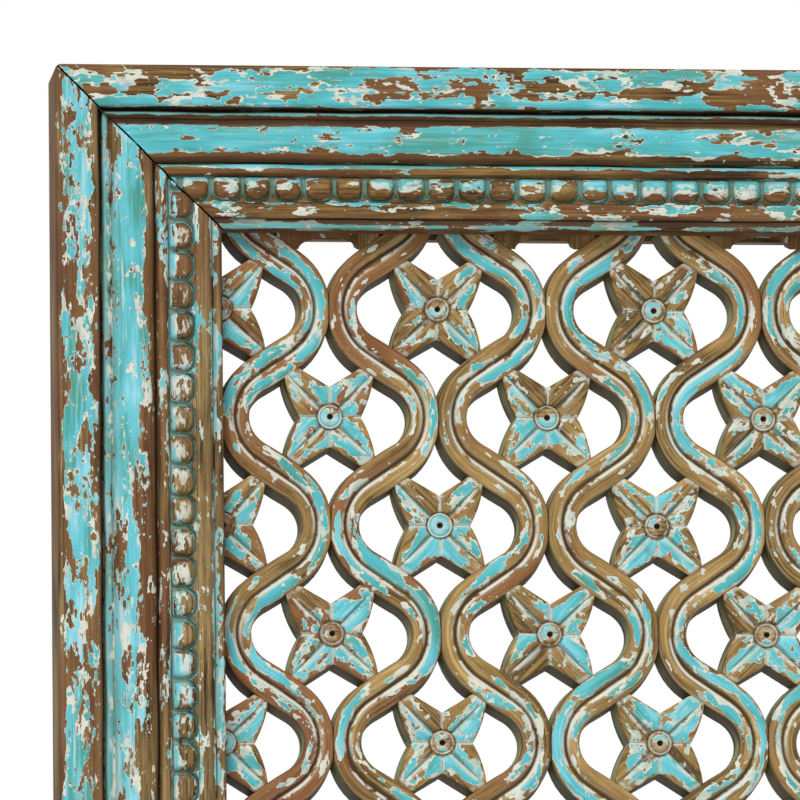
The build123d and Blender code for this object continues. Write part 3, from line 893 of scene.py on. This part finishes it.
def petal_point(step, p):
    """A place on the petal's face: step 0 is its mid-rib, -7 and 7 its two sides."""
    normal = Vector((cos(loop_turn), 0, sin(loop_turn)))
    along = Vector((-sin(loop_turn), 0, cos(loop_turn)))
    inner_radius = loop_radius - reed[-1][0] / 1000 * fullest + petal_lap
    end = Vector((loop_offset, 0, 0)) + normal * inner_radius + along * 0.70 * straight_run
    reach = (inner_radius + loop_offset * cos(loop_turn)) / (cos(loop_turn) + sin(loop_turn))
    rib = Vector((1, 0, 1)) * (boss_radius / sqrt(2) * (1 - p) + reach * p)
    root, notch, corner, bulge = ((Vector((0, 0, boss_radius)), Vector((0, 0, notch_reach)),
                                   end + along * tip_half, 0.0) if step < 0 else
                                  (Vector((boss_radius, 0, 0)), Vector((notch_reach, 0, 0)),
                                   end - along * tip_half, petal_bulge))
    if p < notch_row:
        side = root.lerp(notch, p / notch_row)
    else:
        t = (p - notch_row) / (1 - notch_row)
        chord = corner - notch
        outward = Vector((chord.z, 0, -chord.x)).normalized()
        side = notch + chord * t + outward * bulge * 4 * t * (1 - t)
    width = (side - rib).length
    tight = min(1.0, width / broad_petal)
    near = max(rib_half * tight * min(1.0, (1.06 - p) / rib_end), rib_least * tight)
    far = width - 0.0013 * tight
    from_rib = (0.0, near * 0.45, near, near + (far - near) / 3, near + (far - near) * 2 / 3,
                far, width - 0.0004 * tight, width)[abs(step)]
    from_side = width - from_rib
    in_valley = p <= notch_row
    vee = max(1 - from_rib / near, 0.0)
    chamfer = max(1 - from_side / (chamfer_width * tight), 0.0)
    depth = (0.00040 + rib_depth * max(1 - p / rib_end, 0.0) ** 0.5 * vee
             + (valley_drop if in_valley else rim_drop) * chamfer ** 1.5
             + 0.0006 * max(1 - p / 0.25, 0.0) ** 2 + 0.0012 * max((p - 0.93) / 0.07, 0.0) ** 1.3
             - 0.0002 * sin(pi * from_rib / width))
    place = rib + (side - rib) * from_rib / width
    place.y = depth
    from_border = min(from_side if not in_valley else 1.0, (1.02 - p) * 0.030)
    kept = -0.01 - 0.28 * max(1 - from_border / 0.0030, 0.0)
    # Painted shade in the rib's cut, the valleys and where the tip meets the ribbon; painted
    # highlight in cream along the rib's lip, the valley edges and near the tip.
    sunk = 0.85 * vee * (p < rib_end) + (0.30 * chamfer ** 3 if in_valley else 0.0)
    if p > 0.985:
        sunk = 0.8
    lip = min(max(1.2 - abs(from_rib - near * 0.8) / 0.0006, 0.0), 1.0) * (p < rib_end)
    cream = max(lip, min(chamfer * 1.3, 1.0) if in_valley else 0.0, 0.5 * (0.92 < p < 0.98))
    return place, kept, sunk, cream


def carved_flower():
    """One flower: a quarter laid out as a grid, mirrored twice, its rim carried to the back."""
    sides = 7
    count = len(boss_rings) + len(petal_rows)
    deselect_all()
    bpy.ops.mesh.primitive_grid_add(x_subdivisions=2 * sides, y_subdivisions=count - 1, size=1.0)
    flower = bpy.context.object
    flower.name = "flower"
    kept, sunk, cream = [], [], []
    for vertex in flower.data.vertices:
        step = round((vertex.co.x + 0.5) * 2 * sides) - sides
        row = round((vertex.co.y + 0.5) * (count - 1))
        if row < len(boss_rings):
            radius, depth, paint, hollow_dirt_and_shade, edge = boss_rings[row]
            angle = radians(45 - 45 * step / sides)
            place = Vector((radius * cos(angle), depth, radius * sin(angle))) / 1000
        else:
            place, paint, hollow_dirt_and_shade, edge = petal_point(step, petal_rows[row - len(boss_rings)])
        for axis in (0, 2):
            if abs(place[axis]) < mirror_snap:
                place[axis] = 0.0
        vertex.co = place
        kept.append(paint)
        sunk.append(hollow_dirt_and_shade)
        cream.append(edge)
    store_all(flower, kept=kept, sunk=sunk, cream=cream)
    halves = flower.modifiers.new("halves", "MIRROR")
    halves.use_axis = (True, False, True)
    halves.merge_threshold = mirror_merge
    take_up(flower)
    bpy.ops.object.modifier_apply(modifier="halves")
    bpy.ops.object.mode_set(mode="EDIT")
    bpy.ops.mesh.select_all(action="SELECT")
    bpy.ops.mesh.remove_doubles(threshold=mirror_merge)
    carved_points = len(bmesh.from_edit_mesh(flower.data).verts)
    close_behind(sorted(wall_depths))
    face_outwards()
    store(flower, "wall", [0.0 if vertex.index < carved_points else wall_share(vertex.co.y)
                           for vertex in flower.data.vertices])
    for name, sawn in (("kept", bare), ("sunk", 0.0), ("cream", 0.0)):
        for entry in flower.data.attributes[name].data[carved_points:]:
            entry.value = sawn
    return flower


def close_behind(depths):
    """In edit mode, carries the open rim of a carved face back, leaning out, and closes it."""
    bpy.ops.mesh.select_mode(type="EDGE")
    bpy.ops.mesh.select_all(action="DESELECT")
    bpy.ops.mesh.select_non_manifold()
    widened = 1.0
    for depth in depths:
        lean = 1 + wall_flare * depth / board_depth / notch_reach
        bpy.ops.mesh.extrude_region_move()
        bpy.ops.transform.resize(value=(lean / widened, 0, lean / widened),
                                 center_override=(0, depth, 0))
        widened = lean
    bpy.ops.mesh.edge_face_add()
    bpy.ops.mesh.select_mode(type="VERT")


def flower_for(column, row):
    """One flower in its opening: the model a little turned, stretched and set in deeper, as by hand.
    """
    hand = random.Random(100 * column + row)
    turn = radians(hand.uniform(-1.6, 1.6))
    stretch = [hand.uniform(-0.006, 0.018) for _ in range(4)]
    boss, lift, tilt = hand.uniform(0.92, 1.03), hand.uniform(0, 0.0004), hand.uniform(-6, 6)
    seeds = [hand.uniform(10, 90) for _ in range(9)]
    piece = copied(flower)
    cream, sunk = piece.data.attributes["cream"].data, piece.data.attributes["sunk"].data
    flow = []
    for vertex in piece.data.vertices:
        x, depth, z = vertex.co
        radius = hypot(x, z)
        quarter = (x > 0) + 2 * (z > 0)
        if radius < boss_radius - 0.0003:
            grow = boss
            flow.append((x * 2.2, z, seeds[8]))
        else:
            grow = 1 + stretch[quarter] * min((radius - boss_radius) / 0.02, 1.0)
            upright = abs(z) > abs(x)
            skew = (abs(x) - abs(z)) / sqrt(2)
            # painted light from above: the rib's side that faces down loses its cream highlight, the
            # side that faces up loses most of its painted shade
            if skew * z < 0 and abs(skew) < 0.0021:
                cream[vertex.index].value *= 0.1
            elif abs(skew) < 0.0021:
                sunk[vertex.index].value *= 0.3
            skew += (1 if skew > 0 else -1) * max(depth - carved_depth, 0.0)
            flow.append(((abs(x) + abs(z)) * 1.1, skew, seeds[quarter * 2 + upright]))
        ripple = 0.00003 * (1 + sin(x * 700 + tilt) * cos(z * 600 - tilt))
        sink = lift + ripple if depth < 0.015 else 0
        vertex.co = (column_x(column) + (x * cos(turn) - z * sin(turn)) * grow,
                     jali_face + depth + sink,
                     row_z(row) + (x * sin(turn) + z * cos(turn)) * grow)
    store(piece, "flow", flow, "FLOAT_VECTOR")
    return piece


def plain_bar(section, way, steps, paint_left):
    """A plain stretch of board: its section carried along, with one measure of paint in front."""
    bar = swept_bar("border", section)
    for _ in range(steps):
        bpy.ops.mesh.extrude_region_move(TRANSFORM_OT_translate={"value": way / steps})
    face_outwards()
    kept, sunk, cream, wall, flow = [], [], [], [], []
    across_x = abs(way.x) < abs(way.z)
    for vertex in bar.data.vertices:
        depth = vertex.co.y - jali_face
        kept.append(paint_left if depth < 0.0022 else bare)
        # painted shade where the bar's front turns into its wall, and a little cream as painted
        # highlight along its rounded arris
        sunk.append(0.35 if 0.0012 < depth < 0.0024 else 0.0)
        cream.append(0.2 if 0.0002 < depth < 0.0010 else 0.0)
        wall.append(wall_share(depth))
        run, over = (vertex.co.z, vertex.co.x) if across_x else (vertex.co.x, vertex.co.z)
        flow.append((run, over + depth, 7.0))
    store_all(bar, kept=kept, sunk=sunk, cream=cream, wall=wall)
    store(bar, "flow", flow, "FLOAT_VECTOR")
    return bar


def border_pieces(left, right, fans):
    """Head and foot of a board: a plain bar, and a web with an arched edge at each fan."""
    pieces = []
    for end in (1, -1):
        edge = middle_height + end * (border_line + 0.0006)
        outer = panel_head - panel_shy if end > 0 else panel_foot + panel_shy
        undercut = Vector((0, board_depth - carved_depth, end * 0.0046))
        profile = [(edge + undercut.z, board_depth), (edge + undercut.z * 0.98, board_depth - 0.0004),
                   (edge + undercut.z * 0.6, 0.0120), (edge + undercut.z * 0.2, 0.0050),
                   (edge, 0.0020), (edge + end * 0.0003, 0.0009),
                   (edge + end * 0.0010, 0.0004), (edge + end * 0.0030, 0.0002),
                   (outer, 0.0002), (outer, board_depth)]
        pieces.append(plain_bar([Vector((left, jali_face + depth, z)) for z, depth in profile],
                                Vector((right - left, 0, 0)), 16, -0.14))
        for column, drop in fans:
            crown = border_line - 0.0004 - drop
            arch = [(arch_half * sin(turn),
                     middle_height + end * (crown - arch_rise * (1 - cos(turn))))
                    for turn in [radians(7.5 * step) for step in range(-12, 13)]]
            rim = arch + [(web_half, arch[-1][1]), (web_half, edge + end * 0.0005),
                          (-web_half, edge + end * 0.0005), (-web_half, arch[0][1])]
            web = plain_bar([Vector((column_x(column) + dx, jali_face + carved_depth, z))
                             for dx, z in rim], undercut, 6, -0.16)
            pieces.append(web)
    return pieces


lattice_look = dict(
    frame_look, patch=(0.075, 0.016), patch_pull=0.95, island=(0.018, 0.0075), island_pull=0.75,
    ragged=(0.0048, 0.0028), ragged_pull=0.30, chip=(0.0060, 0.0040), chip_from=0.19,
    speck=(0.0028, 0.0015), scratch=(0.014, 0.0011), rim=(0.012, 0.006), rim_width=0.024,
    rim_pull=1.00,
    wood_dark=tone(88, 66, 32), wood_mid=tone(155, 123, 70), wood_light=tone(202, 167, 106),
    wood_red=tone(134, 78, 46), red_from=0.08, grain=1.9, pores=0.9,
    # the two dark colours that follow serve for dirt and for painted shade in hollows and shaded
    # bands
    dirt_and_shade=tone(52, 38, 22), paint_dirt_and_shade=tone(96, 98, 70), walls=True,
    wall_near=tone(164, 162, 112), wall_deep=tone(84, 66, 26), wall_underside_shade=tone(70, 54, 18),
    cream_edge=-0.09)
lattice_paint = worn_paint("lattice_finish", "flow", 0, lattice_look)

ribbon = wavy_ribbon()
flower = carved_flower()
fan_drops = {1: 0.0028, 3: 0.0020, 5: 0.0012, 7: 0.0022}   # the arches were cut by eye
redder, golden = 0.12, -0.04                   # the first board is the redder one
past_edge = 0.001                              # an outer column runs on behind the frame
for number in range(1, columns // columns_per_board + 1):
    first, last = (number - 1) * columns_per_board, number * columns_per_board
    board_left = panel_left + panel_shy if first == 0 else column_x(first)
    board_right = panel_right - panel_shy if last == columns else column_x(last)
    flowers = joined([flower_for(column, row) for column in range(first, last + 1)
                      for row in range(rows + 1) if (column + row) % 2 == 0], "flowers")
    bpy.ops.object.mode_set(mode="EDIT")
    slice_off((column_x(first) - (past_edge if first == 0 else 0), 0, 0), (-1, 0, 0))
    slice_off((column_x(last) + (past_edge if last == columns else 0), 0, 0), (1, 0, 0))
    bpy.ops.object.mode_set(mode="OBJECT")
    pieces = [flowers] + [ribbon_for(column) for column in range(first, last)]
    pieces += border_pieces(board_left, board_right, [(first + 1, fan_drops[first + 1])])
    for line, outer in ((sight_left, panel_left + panel_shy), (sight_right, panel_right - panel_shy)):
        if board_left <= line <= board_right:
            rim = [(line, board_depth), (line, 0.0010), (line, 0.0004), (outer, 0.0004),
                   (outer, board_depth)]
            pieces.append(plain_bar([Vector((x, jali_face + depth, panel_foot + 0.002))
                                     for x, depth in rim],
                                    Vector((0, 0, panel_head - panel_foot - 0.004)), 24, -0.5))
    board = joined(pieces, f"carved_jali_board_{number}")
    red, flow = [], board.data.attributes["flow"].data
    for vertex in board.data.vertices:
        x, y, z = vertex.co
        fade = (column_x(2) - x) / half_pitch + 1.2 * max((z - row_z(1)) / half_pitch, 0.0)
        red.append(redder * min(max(fade, 0.0), 1.0) if number == 1 else golden)
        if y > jali_back - 0.0002:
            # the bare back shows the board's own straight grain, whatever is carved in front
            flow[vertex.index].vector = (z, x, 40.0 + number)
    store(board, "red", red)
    # painted shade: how far each point faces down, for the walls' darker colour
    store(board, "underside_shade", [min(max(-1.4 * vertex.normal.z, 0.0), 1.0)
                           for vertex in board.data.vertices])
    board.data.materials.append(lattice_paint)
    bpy.ops.object.shade_smooth_by_angle(angle=radians(42))
    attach(board, "root")
    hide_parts(f"jali_board_{number}")
bpy.data.objects.remove(ribbon)
bpy.data.objects.remove(flower)


# ==== Retaining strips and mitre splines ====
# Battens of bare softwood that close the rebate behind the panel, and the loose tongues glued
# into slots across the mitres. Neither was ever painted; the strips have gone grey with dust.
def bare_wood(name, along, look):
    """Unpainted wood with its grain along one axis, and dust lying on it."""
    finish = Finish(name)
    place = finish.object_place()
    cell = grain_cells(along)
    dust = finish.noise(place, (0.030, 0.030, 0.030), detail=4.0, roughness=0.6)
    dusty = finish.math("MULTIPLY", finish.above(dust, 0.03, 0.20), 0.45)
    colour = finish.blend(dusty, wood_colour(finish, place, cell, look), look["dust"])
    finish.feed(colour, finish.shader.inputs["Base Color"])
    finish.shader.inputs["Roughness"].default_value = 0.72
    finish.shader.inputs["Specular IOR Level"].default_value = 0.3
    grain = finish.noise(place, cell(0.04, 0.0009), detail=3.0, roughness=0.6)
    finish.emboss(grain, strength=0.6, distance=0.0004)
    return finish.material


def finish_node(name, material):
    """Gives a piece that the frame already holds its finish."""
    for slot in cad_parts[name].material_slots:
        slot.material = material


strip_look = dict(frame_look, wood_dark=tone(84, 62, 38), wood_mid=tone(138, 110, 72),
                  wood_light=tone(172, 144, 102), wood_red=tone(130, 92, 58), grain=2.2,
                  dust=tone(150, 140, 122))
for along, sides in ((0, ("top", "bottom")), (2, ("left", "right"))):
    strip_wood = bare_wood(f"strip_wood_{along}", along, strip_look)
    for side in sides:
        finish_node(f"retaining_strip_{side}", strip_wood)
spline_wood = bare_wood("spline_wood", 0, dict(strip_look, wood_mid=tone(150, 118, 76)))
for corner in ("top_left", "top_right", "bottom_left", "bottom_right"):
    finish_node(f"mitre_spline_{corner}", spline_wood)


# ==== Nails and brads ====
# Square cut nails of black iron across each mitre, their heads showing on the outer edges,
# and small square brads through the strips. Both have rusted where they meet the wood.
def worn_metal(name, clean, spoiled, share, metallic, cell):
    """Metal in two colours, one spread over the other in blotches, rougher where spoiled."""
    finish = Finish(name)
    place = finish.object_place()
    blotch = finish.noise(place, (cell, cell, cell), detail=4.0, roughness=0.65)
    pits = finish.noise(place, (cell / 6, cell / 6, cell / 6), detail=2.0)
    wear = finish.total(blotch, finish.math("MULTIPLY", pits, 0.4))
    spoilt = finish.above(wear, share, 0.10)
    finish.feed(finish.blend(spoilt, clean, spoiled), finish.shader.inputs["Base Color"])
    finish.shader.inputs["Metallic"].default_value = metallic
    finish.feed(finish.blend(spoilt, (0.38, 0.38, 0.38, 1), (0.72, 0.72, 0.72, 1)),
                finish.shader.inputs["Roughness"])
    finish.emboss(wear, strength=0.4, distance=0.0002)
    return finish.material


nail_iron = worn_metal("nail_iron", tone(58, 52, 48), tone(104, 62, 36), -0.02, 0.55, 0.0030)
finish_node("corner_nails", nail_iron)
finish_node("strip_brads", nail_iron)


# ==== Hanger plates ====
# Two zinc-plated steel keyhole plates let into the back of the top rail, each held by two
# slotted countersunk screws. A screw head on the wall goes in below and drops into the neck.
plate_thickness = 0.0015
keyhole_head, keyhole_neck, keyhole_rise = 0.0084, 0.0045, 0.0064
screw_reach = 0.0145           # plate centre to a screw
screw_head, screw_shank, screw_depth = 0.0062, 0.0034, 0.0018
plate_zinc = worn_metal("plate_zinc", tone(176, 180, 182), tone(128, 126, 118), 0.06, 0.85, 0.0060)
screw_zinc = worn_metal("screw_zinc", tone(190, 186, 168), tone(134, 120, 92), 0.05, 0.85, 0.0025)


def cylinder_along_y(radius, behind, ahead, middle, taper=1.0):
    """A round bar between two depths; taper is its radius at behind over that at ahead."""
    deselect_all()
    bpy.ops.mesh.primitive_cone_add(vertices=40, radius1=radius * taper, radius2=radius,
                                    depth=ahead - behind, rotation=(-pi / 2, 0, 0),
                                    location=(middle[0], (behind + ahead) / 2, middle[1]))
    bpy.ops.object.transform_apply(location=True, rotation=True, scale=True)
    return bpy.context.object


def soften(piece, width):
    """Breaks the sharp edges of a metal piece, and smooths its rounds."""
    take_up(piece)
    edges = piece.modifiers.new("edges", "BEVEL")
    edges.width = width
    edges.segments = 2
    edges.limit_method = "ANGLE"
    edges.angle_limit = radians(35)
    bpy.ops.object.modifier_apply(modifier="edges")
    bpy.ops.object.shade_smooth_by_angle(angle=radians(35))


for side in ("left", "right"):
    low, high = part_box(f"hanger_plate_{side}")
    middle_x, middle_z = (low.x + high.x) / 2, (low.z + high.z) / 2
    plate_face, plate_rear = high.y - 0.0001, high.y - plate_thickness
    plate = block((low.x, plate_rear, low.z), (high.x, plate_face, high.z))
    plate.name = f"keyhole_plate_{side}"
    head_z, neck_z = middle_z - keyhole_rise / 2, middle_z + keyhole_rise / 2
    through = plate_rear - 0.001, plate_face + 0.001
    sinks = [cylinder_along_y(screw_head / 2 + 0.0001, plate_face - screw_depth, plate_face,
                              (middle_x + way * screw_reach, middle_z), screw_shank / screw_head)
             for way in (-1, 1)]
    cut_away(plate, [
        cylinder_along_y(keyhole_head / 2, *through, (middle_x, head_z)),
        cylinder_along_y(keyhole_neck / 2, *through, (middle_x, neck_z)),
        block((middle_x - keyhole_neck / 2, through[0], head_z),
              (middle_x + keyhole_neck / 2, through[1], neck_z))] + sinks)
    soften(plate, 0.0002)
    plate.data.materials.append(plate_zinc)
    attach(plate, "root")
    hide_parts(f"hanger_plate_{side}")
    for way, place in ((-1, "inner" if side == "right" else "outer"),
                       (1, "outer" if side == "right" else "inner")):
        centre = (middle_x + way * screw_reach, middle_z)
        screw = cylinder_along_y(screw_head / 2, plate_face - screw_depth, plate_face - 0.00005,
                                 centre, screw_shank / screw_head)
        screw.name = f"plate_screw_{side}_{place}"
        shank = cylinder_along_y(screw_shank / 2, plate_face - 0.012,
                                 plate_face - screw_depth + 0.0002, centre, 0.6)
        turn = random.uniform(0, pi)
        slot_cut = block((-screw_head, plate_face - 0.0007, -0.0004),
                         (screw_head, plate_face + 0.001, 0.0004))
        slot_cut.data.transform(Matrix.Translation((centre[0], 0, centre[1]))
                                @ Matrix.Rotation(turn, 4, "Y"))
        cut_away(screw, [slot_cut])
        screw = joined([screw, shank], screw.name)
        soften(screw, 0.00012)
        screw.data.materials.append(screw_zinc)
        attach(screw, "root")
